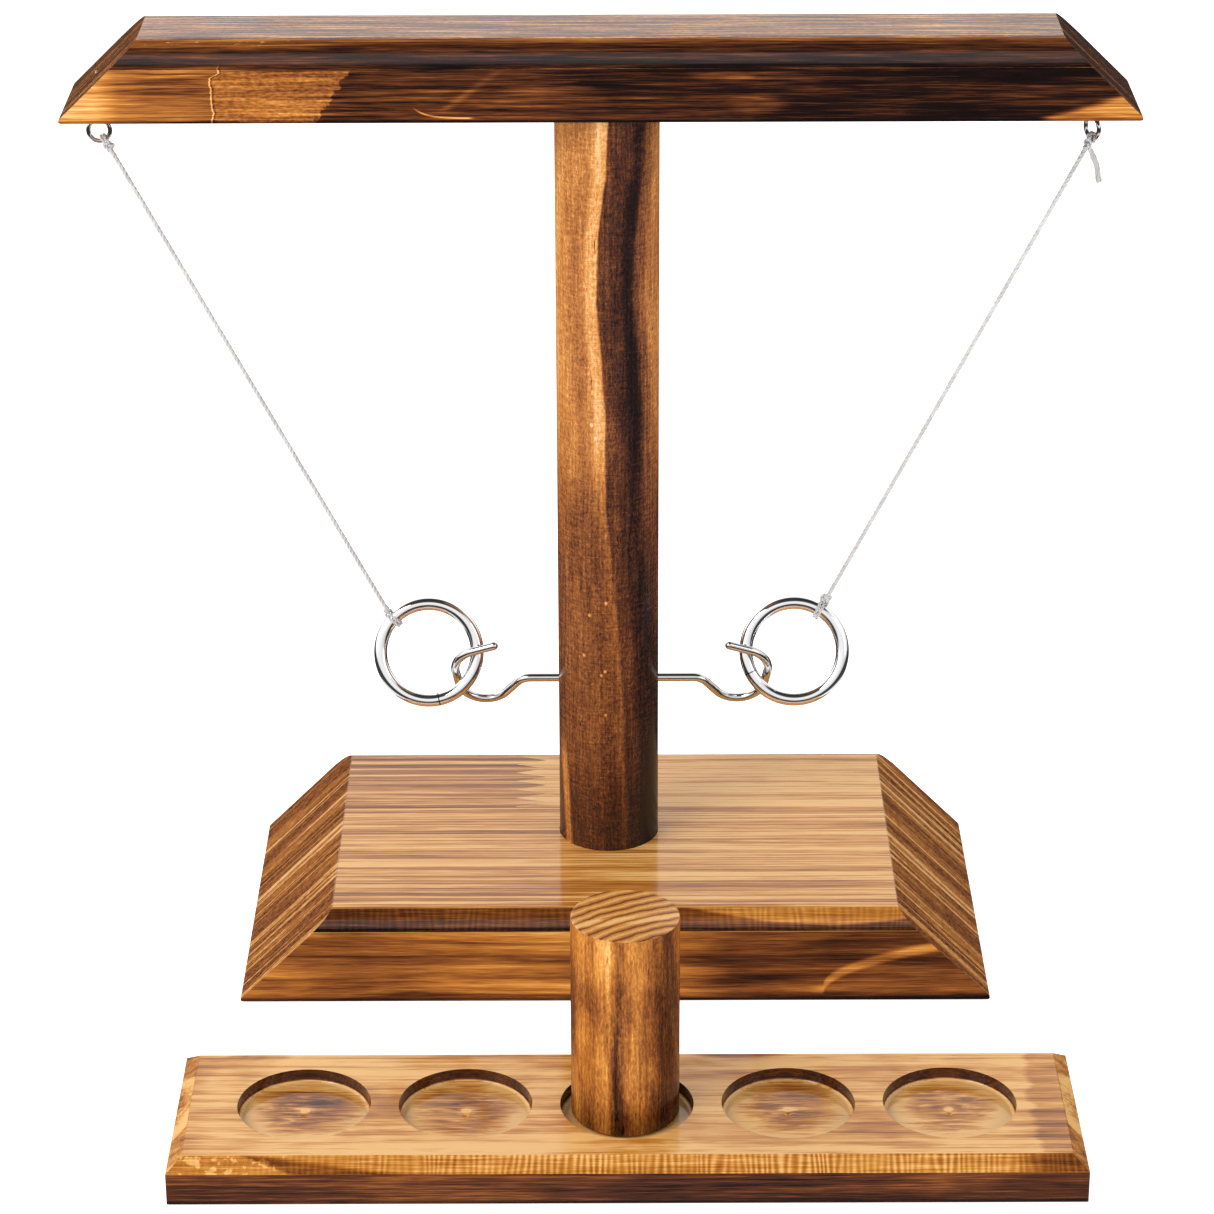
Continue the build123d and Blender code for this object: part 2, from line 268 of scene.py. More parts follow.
def bar_wood():
    w = Wood("burnt_pine_bar", "x", 1.3)
    x, z, nz = w.x, w.z, w.nz
    grain = w.tex(26, 900, 3.0, 0.6)
    hair = w.tex(90, 3200, 2.0, 0.6)
    blotch = w.tex(14, 60, 4.0, 0.6, 0.5)
    flame = w.tex(10, 210, 3.0, 0.6, 0.4)
    top = w.step(nz, 0.965, 0.02)
    end = w.step(w.t.math("ABSOLUTE", w.nx), 0.45, 0.12)
    # front, from the pale left corner to the charred right
    f = w.curve(x, [(-0.18, 0.86), (-0.168, 0.83), (-0.161, 0.58), (-0.150, 0.50), (-0.134, 0.48),
                    (-0.100, 0.32), (-0.085, 0.25), (-0.03, 0.25), (0.00, 0.17), (0.06, 0.19), (0.10, 0.08),
                    (0.18, 0.06)])
    f = w.add(f, w.mul(flame, 0.62))
    f = w.add(f, w.mul(blotch, w.curve(x, [(-0.18, 0.15), (-0.08, 0.30), (0.08, 0.35), (0.18, 0.15)])))
    front = w.sub(1.0, w.step(w.ny, -0.2, 0.2))
    # rippled golden board between the glue line and a ragged slanting edge
    edge = w.add(w.add(-0.0974, w.mul(w.sub(z, BAR_LOW), 0.70)), w.mul(w.tex(600, 700, 3.0), 0.006))
    glue = w.add(-0.1303, w.mul(w.tex(0.0, 260, 3.0), 0.0035))
    glue = w.add(glue, w.mul(w.step(z, 0.3185, 0.0012), 0.0030))
    ripple = w.tex(520, 1300, 2.0, 0.5)
    patch = w.mul(w.mul(front, w.band(x, glue, edge, 0.0006)), w.sub(1.0, w.step(z, 0.3200, 0.0005)))
    f = w.lerp(f, w.add(w.add(0.56, w.mul(ripple, 0.60)), w.mul(flame, 0.45)), patch)
    line = w.band(x, w.sub(glue, 0.00045), w.add(glue, 0.0001), 0.00018)
    shade = w.band(x, w.add(glue, 0.0001), w.add(glue, 0.0007), 0.0003)
    # knife-like tears and orange streaks, on the front only
    a = w.add(0.3041, w.mul(w.t.math("POWER", 2.718, w.mul(w.add(x, 0.0643), -260.0)), 0.0030))
    tear = w.mul(w.mul(front, w.band(w.sub(z, a), -0.00028, 0.00028, 0.00022)),
                 w.band(x, -0.0640, -0.046, 0.0015))
    slant = w.sub(x, w.add(-0.0545, w.mul(w.sub(z, 0.307), 1.35)))
    orange = w.mul(w.mul(front, w.band(slant, -0.0016, 0.0016, 0.0018)), w.band(z, 0.3065, 0.3200, 0.0012))
    ragged = w.mul(front, w.add(w.mul(flame, 1.5), 0.6))
    f = w.add(f, w.mul(w.mul(orange, w.add(0.7, w.mul(flame, 2.5))), 0.17))
    f = w.add(f, w.mul(w.mul(w.spot((0.0360, 0.3178), (0.013, 0.0022)), ragged), 0.45))
    f = w.add(f, w.mul(w.mul(w.spot((0.0470, 0.3085), (0.013, 0.0042)), ragged), 0.30))
    f = w.add(f, w.mul(w.mul(w.spot((-0.020, 0.3140), (0.020, 0.0030)), ragged), 0.18))
    gold = w.sub(w.add(0.3022, w.mul(w.sub(x, 0.1370), 0.34)), w.add(z, w.mul(flame, 0.006)))
    gold = w.mul(w.mul(front, w.step(gold, 0.0, 0.0016)), w.step(x, 0.139, 0.004))
    f = w.lerp(f, w.add(0.66, w.mul(flame, 0.5)), gold)
    # painted shade: the bottom edge of the bar darker, as where it turns down
    f = w.sub(f, w.mul(w.sub(1.0, w.step(z, 0.3034, 0.0005)), 0.22))
    f = w.add(f, w.mul(line, 0.42))
    f = w.sub(f, w.mul(shade, 0.20))
    f = w.lerp(f, 0.86, w.mul(tear, 0.9))
    # rounded shoulder: charred, painted lighter the further it faces up, as light falls on it, with an amber
    # line along its upper edge that is a painted highlight
    shoulder = w.step(nz, 0.10, 0.06)
    # painted light: the tone climbs with how far the shoulder faces up
    s = w.curve(nz, [(0.0, 0.08), (0.18, 0.09), (0.42, 0.20), (0.68, 0.22), (0.86, 0.38), (0.94, 0.56),
                     (1.0, 0.5)])
    s = w.add(s, w.curve(x, [(-0.18, 0.05), (-0.11, 0.05), (-0.06, 0.01), (0.0, -0.03), (0.10, -0.03),
                             (0.18, -0.02)]))
    s = w.add(w.add(s, w.mul(blotch, 0.35)), w.mul(flame, 0.15))
    chips = w.mul(w.step(w.tex(420, 620, 2.0), 0.16, 0.05),
                  w.mul(w.band(nz, 0.80, 0.95, 0.03), w.sub(1.0, w.step(x, -0.105, 0.006))))
    s = w.add(s, w.mul(chips, 0.30))
    f = w.lerp(f, s, shoulder)
    # top and slanted ends: close grain
    r = w.rings((0.16, 0.24), 0.0021, 0.010, 16.0)
    close = w.add(w.add(0.47, w.mul(r, 0.24)), w.add(w.mul(grain, 1.5), w.mul(w.tex(420, 2600, 2.0), 0.9)))
    f = w.lerp(f, close, top)
    ends = w.add(w.curve(x, [(-0.1, 0.50), (0.1, 0.34)]), w.mul(w.lines(9, 520), 0.30))
    ends = w.add(ends, w.mul(w.lines(12, 130, 0.0, 0.12), 0.12))
    f = w.lerp(f, ends, end)
    f = w.add(f, w.add(w.mul(grain, 0.90), w.mul(hair, 0.60)))
    relief = w.add(w.add(w.mul(grain, 0.7), w.mul(hair, 0.5)), w.mul(w.sub(line, shade), 0.5))
    relief = w.add(relief, w.mul(ripple, w.mul(patch, 0.6)))
    cool = w.curve(nz, [(0.0, 0.25), (0.3, 0.6), (0.8, 0.4), (1.0, 0.3)])
    cool = w.add(w.mul(top, 0.5), w.mul(w.sub(1.0, top), cool))
    return w.done(f, relief, cool)


def post_wood():
    w = Wood("burnt_pine_post", "z", 4.1)
    x, z = w.x, w.z
    grain = w.tex(45, 1000, 3.0, 0.6)
    fur = w.tex(700, 1700, 3.0, 0.7)
    cross = w.t.math("SUBTRACT", w.t.noise(w.t.stretch(w.geo, (240, 240, 1500), (3, 1, 2)), 1.0, 2.0), 0.5)
    blotch = w.tex(16, 75, 4.0, 0.6, 0.4)
    # the torch's dark stripe starts at this wandering edge; d is measured from it
    edge = w.curve(z, [(0.02, 0.0055), (0.06, 0.004), (0.099, 0.0025), (0.121, 0.0010), (0.142, -0.0006),
                       (0.164, -0.0029), (0.196, -0.0027), (0.218, -0.0038), (0.239, -0.0057),
                       (0.261, -0.0052), (0.282, -0.0024), (0.303, -0.0018)])
    edge = w.add(edge, w.mul(w.tex(60, 0.0, 2.0), 0.0014))
    front = w.sub(1.0, w.step(w.ny, 0.15, 0.10))
    up = w.step(z, 0.172, 0.035)
    d = w.sub(x, edge)
    left_up = w.curve(d, [(-0.020, 0.55), (-0.0145, 0.74), (-0.0105, 0.68), (-0.0080, 0.60), (-0.0055, 0.65),
                          (-0.0032, 0.84), (0.0, 0.82)])
    left_lo = w.curve(d, [(-0.024, 0.34), (-0.018, 0.46), (-0.010, 0.46), (-0.0050, 0.39), (-0.0022, 0.45),
                          (0.0, 0.57)])
    left = w.lerp(left_lo, left_up, up)
    right_up = w.curve(d, [(0.0, 0.40), (0.0030, 0.34), (0.0075, 0.28), (0.0095, 0.12), (0.0115, 0.16),
                           (0.0130, 0.44), (0.0150, 0.52), (0.0170, 0.70), (0.0205, 0.64), (0.023, 0.40)])
    right_lo = w.curve(d, [(0.0, 0.34), (0.0035, 0.31), (0.0060, 0.17), (0.0100, 0.15), (0.0130, 0.27),
                           (0.0155, 0.42), (0.018, 0.30)])
    right = w.lerp(right_lo, right_up, up)
    f = w.lerp(left, right, w.step(d, 0.0, w.curve(z, [(0.08, 0.0016), (0.16, 0.0007), (0.30, 0.0003)])))
    # back of the post, out of the torch's main reach
    r = w.rings((0.040, 0.060), 0.0046, 0.012, 24.0)
    f = w.lerp(w.add(0.50, w.mul(r, 0.30)), f, front)
    f = w.sub(f, w.mul(w.sub(1.0, w.step(z, 0.062, 0.022)), 0.15))
    sliver = w.mul(w.band(w.sub(x, w.mul(w.sub(z, 0.036), -0.05)), -0.0172, -0.0150, 0.0006),
                   w.sub(1.0, w.step(z, 0.070, 0.010)))
    f = w.lerp(f, 0.78, w.mul(w.mul(sliver, front), 0.85))
    nap = w.add(w.mul(grain, 0.42), w.add(w.mul(fur, 0.70), w.mul(cross, 0.32)))
    f = w.add(f, w.add(w.mul(blotch, 0.45), nap))
    # painted shade: the right side of the post a little darker, away from the light
    f = w.sub(f, w.mul(w.step(x, 0.001, 0.006), 0.04))
    # dark nicks and pale pin knots
    nick = w.step(w.add(w.tex(120, 700, 2.0), w.mul(blotch, 0.2)), 0.245, 0.02)
    f = w.sub(f, w.mul(nick, 0.35))
    pins = None
    for c in ((-0.0028, 0.1295), (-0.0085, 0.1245), (-0.0105, 0.1090), (-0.0032, 0.1035), (-0.0045, 0.1020),
              (-0.0030, 0.0868), (-0.0075, 0.195), (-0.0062, 0.1905)):
        p = w.spot(c, (0.0007, 0.0009))
        pins = p if pins is None else w.t.math("MAXIMUM", pins, p)
    f = w.add(f, w.mul(w.mul(pins, front), 0.42))
    relief = w.add(w.mul(grain, 0.6), w.sub(w.mul(fur, 0.9), w.mul(nick, 0.6)))
    cool = w.add(0.52, w.mul(up, 0.35))
    return w.done(f, relief, cool, coat=0.55, rough=0.26)


def base_wood():
    w = Wood("burnt_pine_base", "x", 7.7)
    x, y, z, nz = w.x, w.y, w.z, w.nz
    grain = w.tex(10, 800, 3.0, 0.6)
    hair = w.tex(80, 3000, 2.0, 0.6)
    blotch = w.tex(12, 40, 3.0, 0.6, 0.3)
    flame = w.tex(6, 150, 3.0, 0.55, 0.5)
    pale = w.lines(5, 330)
    broad = w.lines(8, 85, -0.03, 0.16)
    top = w.step(nz, 0.965, 0.02)
    end = w.step(w.t.math("ABSOLUTE", w.nx), 0.45, 0.12)
    seam = w.add(SEAM_Y, w.mul(w.tex(20, 0.0, 2.0), 0.0008))
    back = w.step(y, seam, 0.0001)
    saw = w.t.math("PINGPONG", y, 0.0034)
    joint = w.add(-0.0250, w.mul(saw, -3.3))
    left = w.sub(1.0, w.step(x, joint, 0.0002))
    # back board: dark bands with thin pale lines left of the finger joint, pale flowing grain right of it
    thin = [(0.0, 1.0), (0.12, 0.92), (0.26, 0.30), (0.58, 0.10), (0.82, 0.32), (0.93, 0.85), (1.0, 1.0)]
    stripes = w.rings((0.42, -0.10), 0.0052, 0.004, 10.0, thin)
    stripes2 = w.rings((0.36, -0.06), 0.0044, 0.010, 10.0, thin)
    flow = w.rings((-0.16, -0.08), 0.0090, 0.034, 7.0)
    fade = w.add(0.85, w.mul(w.tex(7, 110, 2.0), 2.6))
    stripes = w.mul(stripes, fade)
    stripes2 = w.mul(stripes2, fade)
    fine = w.rings((0.30, -0.05), 0.0017, 0.008, 12.0)
    tb = w.lerp(w.add(0.90, w.mul(flow, 0.24)),
                w.add(0.72, w.add(w.mul(stripes, 0.40), w.mul(pale, 0.20))), left)
    half = w.step(w.add(x, w.mul(blotch, 0.10)), -0.010, 0.030)
    tf = w.lerp(w.add(0.79, w.add(w.mul(pale, 0.22), w.mul(stripes2, 0.16))),
                w.add(0.82, w.add(w.mul(flow, 0.22), w.mul(pale, 0.16))), half)
    t_ = w.add(w.lerp(tf, tb, back), w.mul(fine, 0.20))
    zig = w.mul(w.band(x, w.sub(joint, 0.0004), w.add(joint, 0.0001), 0.0002), back)
    t_ = w.sub(t_, w.mul(zig, 0.16))
    dark = w.mul(w.band(y, w.sub(seam, 0.0003), w.add(seam, 0.0005), 0.0003), w.add(0.6, w.mul(flame, 2.0)))
    t_ = w.sub(t_, w.mul(dark, 0.34))
    t_ = w.add(t_, w.add(w.mul(flame, 0.34), w.mul(grain, 0.50)))
    # front: broad flat-sawn flames, pale left of the middle, charred right
    f = w.curve(x, [(-0.13, 0.52), (-0.09, 0.46), (-0.06, 0.50), (-0.02, 0.58), (0.02, 0.52), (0.04, 0.34),
                    (0.08, 0.28), (0.13, 0.32)])
    f = w.add(f, w.add(w.mul(w.tex(9, 90, 3.0, 0.5, 1.2), 0.95), w.mul(flame, 0.25)))
    swirl = w.rings((-0.062, 0.030), 0.0075, 0.045, 12.0)
    f = w.add(f, w.mul(swirl, 0.16))
    arc = w.t.math("POWER", w.t.math("MAXIMUM", w.sub(x, 0.072), 0.0), 0.5)
    wedge = w.sub(z, w.add(0.006, w.mul(arc, 0.085)))
    f = w.add(f, w.mul(w.mul(w.band(wedge, -0.0035, 0.0, 0.0010), w.step(x, 0.070, 0.006)), 0.30))
    # painted shade: darker along the bottom edge, where the base meets the floor
    f = w.sub(f, w.mul(w.sub(1.0, w.step(z, 0.0012, 0.0005)), 0.20))
    # rounded shoulder: amber, with ripples; golden flames at the right
    rip = w.ripples(0.0026)
    s = w.curve(x, [(-0.13, 0.32), (-0.10, 0.30), (-0.05, 0.37), (0.03, 0.40), (0.05, 0.46), (0.10, 0.38),
                    (0.13, 0.36)])
    lens = w.sub(w.add(nz, w.mul(w.tex(14, 30, 2.0), 0.5)),
                 w.curve(x, [(-0.13, 1.2), (0.02, 1.0), (0.05, 0.50), (0.075, 0.30), (0.10, 0.62),
                             (0.13, 0.40)]))
    s = w.add(s, w.mul(w.step(lens, 0.0, 0.05), 0.26))
    deep = w.curve(x, [(-0.13, 0.15), (-0.06, 0.12), (0.02, 0.06), (0.05, 0.16), (0.13, 0.10)])
    s = w.add(s, w.add(w.mul(rip, deep), w.mul(blotch, 0.35)))
    # painted shade: the shoulder darker where it turns down towards the front
    s = w.sub(s, w.mul(w.band(nz, 0.0, 0.30, 0.12), 0.22))
    f = w.lerp(f, s, w.step(nz, 0.16, 0.08))
    # slanted ends: pale lines running down, with the seam between the two boards
    sl = w.add(w.add(0.64, w.mul(pale, 0.36)), w.add(w.mul(broad, 0.20), w.mul(w.tex(60, 500, 3.0), 0.30)))
    sl = w.sub(sl, w.mul(w.band(y, w.sub(seam, 0.0004), w.add(seam, 0.0004), 0.0002), 0.22))
    rim = w.step(y, 0.061, 0.002)
    f = w.lerp(f, sl, end)
    f = w.lerp(f, t_, top)
    f = w.lerp(f, w.add(0.50, w.mul(flame, 0.5)), w.mul(rim, w.sub(1.0, top)))
    f = w.add(f, w.add(w.mul(grain, 0.55), w.mul(hair, 0.55)))
    relief = w.add(w.add(w.mul(grain, 0.6), w.mul(hair, 0.5)),
                   w.sub(w.mul(fine, 0.15), w.add(w.mul(dark, 0.5), zig)))
    cool = w.lerp(w.lerp(0.0, 0.75, end), w.add(0.05, w.mul(w.mul(left, back), 0.4)), top)
    return w.done(f, relief, cool)


def ladder_wood():
    w = Wood("burnt_pine_ladder", "x", 2.9)
    x, y, z, nz = w.x, w.y, w.z, w.nz
    grain = w.tex(12, 900, 3.0, 0.6)
    hair = w.tex(90, 3000, 2.0, 0.6)
    blotch = w.tex(16, 34, 3.0, 0.6, 0.6)
    flame = w.tex(10, 120, 3.0, 0.6, 0.8)
    r = w.rings((-0.46, -0.02), 0.0058, 0.030, 11.0)
    top = w.step(nz, 0.95, 0.02)
    t_ = w.curve(y, [(-0.193, 0.94), (-0.180, 0.91), (-0.150, 0.89), (-0.121, 0.82)])
    t_ = w.add(w.add(t_, w.mul(r, 0.18)), w.add(w.mul(blotch, 0.95), w.mul(flame, 0.55)))
    # scorched corners, back edge and right end
    t_ = w.sub(t_, w.mul(w.step(x, w.add(0.1345, w.mul(flame, 0.010)), 0.0015), 0.20))
    t_ = w.sub(t_, w.mul(w.sub(1.0, w.step(x, w.add(-0.133, w.mul(blotch, 0.012)), 0.007)), 0.12))
    t_ = w.sub(t_, w.mul(w.spot((0.041, -0.1255), (0.022, 0.0045), "xy"), w.add(0.34, w.mul(flame, 1.6))))
    t_ = w.sub(t_, w.mul(w.step(y, w.add(-0.1255, w.mul(blotch, 0.02)), 0.0022), 0.22))
    # inside the cups: paler rim as painted light, darker middle, the floor painted lighter at the front and
    # darker at the back as light and shade, turned centre with torn grain
    cup = w.t.math("PINGPONG", w.add(x, 5 * CUP_PITCH - LADDER_X), CUP_PITCH / 2)
    dy = w.sub(y, CUP_Y)
    rad = w.t.math("SQRT", w.add(w.mul(cup, cup), w.mul(dy, dy)))
    inside = w.mul(w.sub(1.0, w.step(z, 0.0147, 0.0002)), w.sub(1.0, w.step(rad, CUP_EDGE_R, 0.0002)))
    floor_ = w.mul(inside, w.step(nz, 0.6, 0.2))
    # the paler rim here is a painted highlight; the darker middle is the wood
    c = w.curve(rad, [(0.0, 0.86), (0.004, 0.62), (0.010, 0.70), (0.016, 0.96), (0.0196, 1.16),
                      (CUP_R, 0.86)])
    lines = w.tex(60, 420, 3.0, 0.6, 1.2)
    # painted light and shade: the cup floor lighter at the front, darker at the back
    c = w.add(c, w.curve(dy, [(-CUP_R, 0.14), (-0.010, 0.05), (0.004, -0.06), (CUP_R, -0.16)]))
    torn = w.mul(lines, w.curve(rad, [(0.0, 2.0), (0.008, 1.3), (0.02, 0.5)]))
    c = w.add(c, w.add(torn, w.mul(blotch, 0.8)))
    dot = w.sub(1.0, w.step(rad, 0.0016, 0.0004))
    c = w.add(c, w.mul(dot, 0.24))
    t_ = w.lerp(t_, c, floor_)
    # rippled golden strip along the front edge
    rip = w.ripples(0.0021)
    s = w.curve(x, [(-0.143, 0.68), (-0.10, 0.78), (-0.085, 0.76), (0.0, 0.81), (0.09, 0.82), (0.125, 0.78),
                    (0.135, 0.50), (0.150, 0.46)])
    deep = w.curve(x, [(-0.143, 0.05), (-0.08, 0.12), (-0.06, 0.34), (0.10, 0.32), (0.15, 0.10)])
    s = w.add(s, w.mul(rip, deep))
    diag = w.sub(x, w.add(-0.118, w.mul(w.sub(0.0148, z), 4.0)))
    dark = w.mul(w.step(diag, 0.0, 0.002), w.sub(1.0, w.step(x, w.add(-0.066, w.mul(flame, 0.02)), 0.004)))
    dark = w.mul(dark, w.sub(1.0, w.step(z, w.curve(x, [(-0.12, 0.0152), (-0.066, 0.0108)]), 0.0006)))
    s = w.sub(s, w.mul(dark, 0.30))
    flake = w.mul(w.step(w.tex(330, 330, 2.0), 0.09, 0.03), w.sub(1.0, w.step(x, -0.105, 0.010)))
    s = w.add(s, w.mul(flake, 0.22))
    s = w.add(s, w.mul(blotch, 0.18))
    strip = w.mul(w.band(nz, 0.12, 0.95, 0.03), w.sub(1.0, w.step(w.ny, -0.1, 0.05)))
    strip = w.mul(strip, w.step(w.sub(-0.1880, y), -0.004, 0.002))
    # front and side faces
    f = w.curve(x, [(-0.143, 0.27), (-0.09, 0.27), (-0.07, 0.38), (-0.03, 0.31), (0.05, 0.25), (0.10, 0.31),
                    (0.150, 0.27)])
    f = w.add(f, w.add(w.mul(flame, 0.50), w.mul(blotch, 0.25)))
    # painted shade: darker along the bottom edge, where the board meets the floor
    f = w.sub(f, w.mul(w.sub(1.0, w.step(z, 0.0012, 0.0005)), 0.15))
    # painted shade: the cup walls dark, as in a recess
    painted_shade_wall = w.mul(w.mul(inside, w.sub(1.0, w.step(nz, 0.6, 0.2))),
                 w.step(w.sub(CUP_EDGE_R, rad), -0.001, 0.0002))
    f = w.lerp(f, w.add(0.26, w.mul(flame, 0.3)), painted_shade_wall)
    f = w.lerp(f, w.sub(t_, 0.06), w.mul(w.step(nz, 0.25, 0.08), w.sub(1.0, painted_shade_wall)))
    f = w.lerp(f, s, strip)
    f = w.lerp(f, t_, top)
    f = w.lerp(f, c, w.mul(floor_, w.sub(1.0, top)))
    f = w.add(f, w.add(w.mul(grain, 0.66), w.mul(hair, 0.55)))
    relief = w.add(w.add(w.mul(grain, 0.5), w.mul(hair, 0.5)),
                   w.add(w.mul(rip, w.mul(strip, 0.8)), w.mul(lines, w.mul(floor_, 0.7))))
    cool = w.mul(w.sub(1.0, w.step(nz, 0.10, 0.05)), 0.65)
    return w.done(f, relief, cool)


def peg_wood():
    w = Wood("burnt_pine_peg", "z", 9.4)
    x, y, z, nz = w.x, w.y, w.z, w.nz
    grain = w.tex(50, 1000, 3.0, 0.6)
    fur = w.tex(500, 1600, 3.0, 0.7)
    blotch = w.tex(24, 80, 3.0, 0.6, 0.5)
    top = w.step(nz, 0.75, 0.10)
    d = w.add(w.sub(x, PEG_X), w.mul(w.tex(26, 0.0, 2.0), 0.004))
    f = w.curve(d, [(-0.018, 0.46), (-0.0150, 0.62), (-0.0115, 0.50), (-0.0085, 0.66), (-0.0055, 0.74),
                    (-0.0030, 0.40), (-0.0005, 0.44), (0.0030, 0.62), (0.0065, 0.56), (0.0095, 0.40),
                    (0.0140, 0.34), (0.018, 0.48)])
    front = w.sub(1.0, w.step(w.ny, 0.2, 0.15))
    r = w.rings((0.055, -0.250), 0.0042, 0.006, 22.0)
    f = w.lerp(w.add(0.52, w.mul(r, 0.35)), f, front)
    f = w.add(f, w.add(w.mul(blotch, 0.75), w.add(w.mul(grain, 0.50), w.mul(fur, 0.70))))
    f = w.add(f, w.mul(w.step(z, 0.068, 0.012), 0.10))
    # painted highlight: a soft lighter oval down the middle of the peg's front
    f = w.add(f, w.mul(w.spot((0.0035, 0.040), (0.0050, 0.016)), 0.16))
    f = w.sub(f, w.mul(w.sub(1.0, w.step(z, 0.024, 0.007)), 0.12))
    nick = w.step(w.tex(110, 600, 2.0), 0.215, 0.02)
    f = w.sub(f, w.mul(nick, 0.30))
    # sawn end: arcs of darker latewood with one broad pale band
    ends = w.add(0.66, w.mul(r, 0.62))
    pale = w.band(w.add(y, w.mul(x, -0.18)), -0.1600, -0.1555, 0.0008)
    pores = w.t.math("SUBTRACT", w.t.noise(w.geo, 1800.0, 3.0, 0.7), 0.5)
    ends = w.add(w.add(ends, w.mul(pale, 0.16)), w.mul(pores, 0.40))
    f = w.lerp(f, ends, top)
    relief = w.add(w.mul(grain, 0.6), w.sub(w.mul(fur, 0.7), w.mul(nick, 0.5)))
    return w.done(f, relief, w.mul(top, 0.35), coat=0.6, rough=0.22)


def dress(node, mat):
    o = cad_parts[node]
    o.data.materials.clear()
    o.data.materials.append(mat)


for node, build in (("crossbar", bar_wood), ("post", post_wood), ("base_block", base_wood),
                    ("ladder_board", ladder_wood), ("marker_peg", peg_wood)):
    dress(node, build())


# ------------------------------------------------------------------ metals
def metal(name, colour, rough, wear, scratch):
    """Plated metal; wear and scratch are noise scales to the metre."""
    m, t, b = material(name)
    geo = t.node("ShaderNodeTexCoord").outputs["Object"]
    n = t.noise(geo, wear, 3.0, 0.6)
    t.put(b.inputs["Base Color"], t.ramp(n, [(0.3, tuple(c * 0.93 for c in colour)), (0.7, colour)]))
    b.inputs["Metallic"].default_value = 1.0
    t.put(b.inputs["Roughness"], t.range(t.noise(geo, scratch, 2.0), 0.3, 0.7, rough * 0.7, rough * 1.5))
    bump(t, b, n, 0.05, 0.0002)
    return m, t, b


def ring_seam(t, b):
    """Fine line where each ring's wire ends meet, 78 degrees below +X on the left and 154 on the right."""
    sep = t.node("ShaderNodeSeparateXYZ")
    t.put(sep.inputs[0], t.node("ShaderNodeTexCoord").outputs["Object"])
    x, y, z = sep.outputs
    right = t.math("GREATER_THAN", x, 0.0)
    apart = RING_X["right"] - RING_X["left"]
    u = t.math("SUBTRACT", x, t.math("ADD", RING_X["left"], t.math("MULTIPLY", right, apart)))
    v = t.math("ADD", t.math("MULTIPLY", y, math.sin(RING_LEAN)),
               t.math("MULTIPLY", t.math("SUBTRACT", z, RING_Z), math.cos(RING_LEAN)))
    ang = t.math("ARCTAN2", v, u)
    goal = t.math("ADD", math.radians(-78.0), t.math("MULTIPLY", right, math.radians(-76.0)))
    off = t.math("ABSOLUTE", t.math("SUBTRACT", ang, goal))
    line = t.range(off, 0.006, 0.018, 1, 0, True)
    old = b.inputs["Base Color"].links[0].from_socket
    t.put(b.inputs["Base Color"], t.mix(line, old, (0.10, 0.10, 0.11)))


chrome, chrome_tree, chrome_shader = metal("chromed_ring", (0.94, 0.94, 0.95), 0.035, 90.0, 500.0)
ring_seam(chrome_tree, chrome_shader)
nickel = metal("nickel_wire", (0.74, 0.73, 0.71), 0.07, 160.0, 800.0)[0]
zinc = metal("zinc_steel", (0.55, 0.56, 0.57), 0.28, 300.0, 900.0)[0]
for mat, nodes in ((chrome, ("left_ring", "right_ring")),
                   (nickel, ("left_hook", "right_hook", "left_eyelet", "right_eyelet")),
                   (zinc, ("base_screws", "base_screw_washers", "crossbar_dowel_screw"))):
    for node in nodes:
        dress(node, mat)


# ------------------------------------------------------------------ cotton string
def cotton():
    m, t, b = material("cotton_string")
    geo = t.node("ShaderNodeTexCoord").outputs["Object"]
    fibre = t.noise(geo, 5200.0, 3.0, 0.7)
    soil = t.noise(geo, 240.0, 2.0, 0.5)
    col = t.ramp(soil, [(0.3, (0.50, 0.49, 0.485)), (0.7, (0.68, 0.675, 0.67))])
    thread = t.ramp(fibre, [(0.35, (0.38, 0.37, 0.365)), (0.65, (0.80, 0.80, 0.795))])
    t.put(b.inputs["Base Color"], t.mix(0.25, col, thread))
    b.inputs["Roughness"].default_value = 0.92
    b.inputs["Sheen Weight"].default_value = 0.2
    b.inputs["Sheen Roughness"].default_value = 0.5
    b.inputs["Specular IOR Level"].default_value = 0.2
    bump(t, b, fibre, 0.6, 0.0002)
    return m


COTTON = cotton()


def nurbs_points(points, name):
    """Points along one smooth NURBS line through the given control points."""
    cu = bpy.data.curves.new(name + "_route", "CURVE")
    cu.dimensions = "3D"
    cu.resolution_u = 24
    sp = cu.splines.new("NURBS")
    sp.points.add(len(points) - 1)
    for p, c in zip(sp.points, points):
        p.co = (*c, 1.0)
    sp.order_u = 3
    sp.use_endpoint_u = True
    ob = bpy.data.objects.new(name + "_route", cu)
    bpy.context.collection.objects.link(ob)
    me = bpy.data.meshes.new_from_object(ob)
    pts = [v.co.copy() for v in me.vertices]
    bpy.data.objects.remove(ob)
    bpy.data.meshes.remove(me)
    return pts


def resample(pts, n):
    """n points evenly spaced along a line, and the line's length."""
    run = [0.0]
    for a, b in zip(pts, pts[1:]):
        run.append(run[-1] + (b - a).length)
    out, k = [], 0
    for i in range(n):
        s = run[-1] * i / (n - 1)
        while k < len(pts) - 2 and run[k + 1] < s:
            k += 1
        f = (s - run[k]) / max(run[k + 1] - run[k], 1e-12)
        out.append(pts[k].lerp(pts[k + 1], min(max(f, 0.0), 1.0)))
    return out, run[-1]


def frames(pts):
    """Tangent and two side vectors at every point, without twist."""
    out = []
    side = None
    for i in range(len(pts)):
        t = (pts[min(i + 1, len(pts) - 1)] - pts[max(i - 1, 0)]).normalized()
        if side is None:
            side = t.cross(Vector((0.31, 0.87, 0.21))).normalized()
        side = (side - t * side.dot(t)).normalized()
        out.append((t, side, t.cross(side)))
    return out


